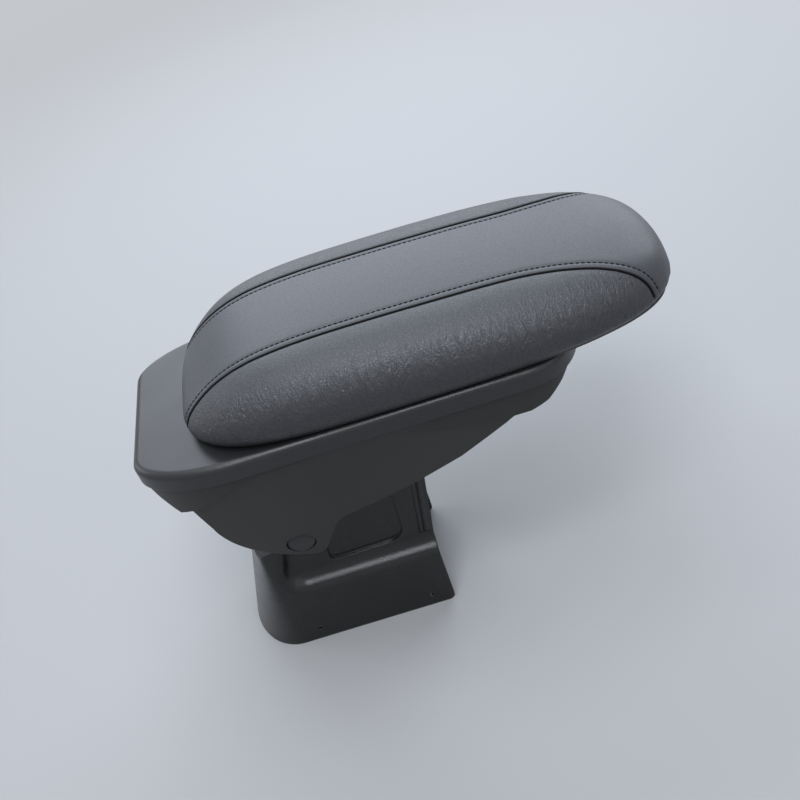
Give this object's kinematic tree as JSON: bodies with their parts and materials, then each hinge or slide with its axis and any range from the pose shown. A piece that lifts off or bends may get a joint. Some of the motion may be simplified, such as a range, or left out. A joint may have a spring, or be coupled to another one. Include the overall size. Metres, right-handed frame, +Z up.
{
  "type": "car centre armrest",
  "caption": "Padded armrest that slides on the lid of a tilting storage box, carried on a saddle base that sits over a car's centre console.",
  "frame": {"origin": "on the plane under the saddle base's bottom rim, straight below the tilt pivot, on the middle plane", "axes": "+X towards the padded top's front end, +Y towards the armrest's left side, +Z up"},
  "size_m": [0.3508, 0.1508, 0.2536],
  "materials": {
    "base_shell": "satin gloss moulded plastic, near black",
    "box_plastic": "fine grained satin moulded plastic, dark warm grey",
    "deck_plastic": "satin moulded plastic, bluish grey",
    "cap_plastic": "satin moulded plastic, mid grey",
    "cover_leather": "grained synthetic leather, bluish grey",
    "pad_foam": "moulded polyurethane foam, hidden under the cover",
    "pan_plastic": "matte moulded plastic, black",
    "glide_nylon": "natural slippery plastic",
    "washer_nylon": "slippery plastic, dark grey",
    "buffer_rubber": "moulded rubber",
    "mat_rubber": "ribbed soft rubber",
    "pivot_steel": "zinc plated steel",
    "screw_steel": "zinc plated steel",
    "magnet_metal": "coated ferrite magnet block"
  },
  "bodies": {
    "base": {"console_base": "base_shell", "pivot_sleeve": "pivot_steel", "friction_washers": "washer_nylon", "tilt_buffers": "buffer_rubber"},
    "box": {"storage_box": "box_plastic", "box_mat": "mat_rubber", "pivot_bolt": "pivot_steel", "pivot_nut": "pivot_steel", "pivot_washers": "pivot_steel", "pivot_cap_left": "cap_plastic", "pivot_cap_right": "cap_plastic", "hinge_pin": "pivot_steel", "catch_magnet": "magnet_metal", "lid_bumpers": "buffer_rubber"},
    "lid": {"lid_deck": "deck_plastic", "glide_strips": "glide_nylon", "catch_plate": "pivot_steel"},
    "pad": {"pad_pan": "pan_plastic", "pad_foam": "pad_foam", "cover_centre_panel": "cover_leather", "cover_left_panel": "cover_leather", "cover_right_panel": "cover_leather", "slide_shoes": "glide_nylon", "shoe_screws": "screw_steel"}
  },
  "joints": [
    {"name": "box_tilt", "type": "hinge", "parent": "base", "child": "box", "pos_m": [0, 0, 0.108], "axis": [0, -1, 0], "range_deg": [0, 55]},
    {"name": "lid_open", "type": "hinge", "parent": "box", "child": "lid", "pos_m": [-0.0765, 0, 0.186], "axis": [0, -1, 0], "range_deg": [0, 80]},
    {"name": "pad_slide", "type": "slide", "parent": "lid", "child": "pad", "axis": [1, 0, 0], "range_m": [-0.034, 0]}
  ]
}
